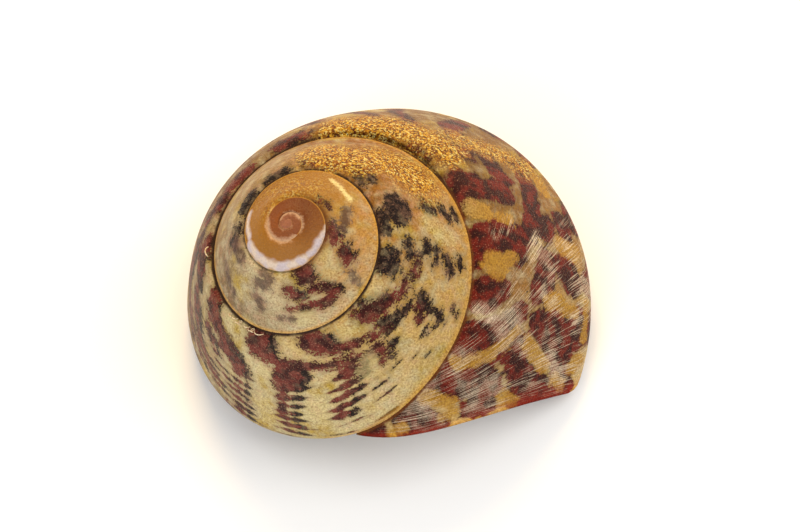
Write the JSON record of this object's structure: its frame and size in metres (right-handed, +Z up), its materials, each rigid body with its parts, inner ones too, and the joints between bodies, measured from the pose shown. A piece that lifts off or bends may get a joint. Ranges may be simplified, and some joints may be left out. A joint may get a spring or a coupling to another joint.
{
  "type": "top shell",
  "caption": "Low conical spiral sea shell with rounded whorls, a seam between them and an open mouth underneath.",
  "frame": {"origin": "on the floor, below the middle of the shell's bounding box", "axes": "+Z up as it rests on its base and lip, -Y towards the viewer of the picture, +X to the viewer's right"},
  "size_m": [0.0196, 0.0184, 0.0126],
  "materials": {
    "shell": "satin"
  },
  "bodies": {
    "root": {"shell": "shell"}
  },
  "joints": []
}
